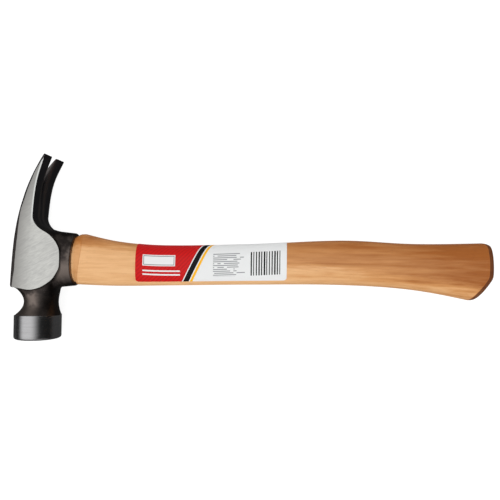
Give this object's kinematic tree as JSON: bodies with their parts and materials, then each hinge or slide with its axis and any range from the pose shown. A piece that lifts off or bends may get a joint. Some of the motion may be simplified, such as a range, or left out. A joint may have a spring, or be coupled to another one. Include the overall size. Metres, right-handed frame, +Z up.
{
  "type": "framing hammer",
  "caption": "Straight-claw framing hammer lying on one cheek: forged head with ground cheeks, nail slot and round poll, wedged on a curved hickory handle with a paper label.",
  "frame": {"origin": "middle of the bounding box's underside, on the surface that the hammer lies on", "axes": "+X along the handle to the butt, +Y from the striking face to the claws, +Z up out of the upper cheek"},
  "size_m": [0.3908, 0.1536, 0.0388],
  "materials": {
    "forged_steel": "black forged scale with ground cheeks and poll",
    "hickory": "clear lacquer over straight grain",
    "wedge_wood": "sawn end grain",
    "wedge_steel": "dull mill finish",
    "label_paper": "satin printed paper"
  },
  "bodies": {
    "root": {"steel_head": "forged_steel", "hickory_handle": "hickory", "wooden_wedge": "wedge_wood", "claw_side_steel_wedge": "wedge_steel", "face_side_steel_wedge": "wedge_steel", "paper_label": "label_paper"}
  },
  "joints": []
}
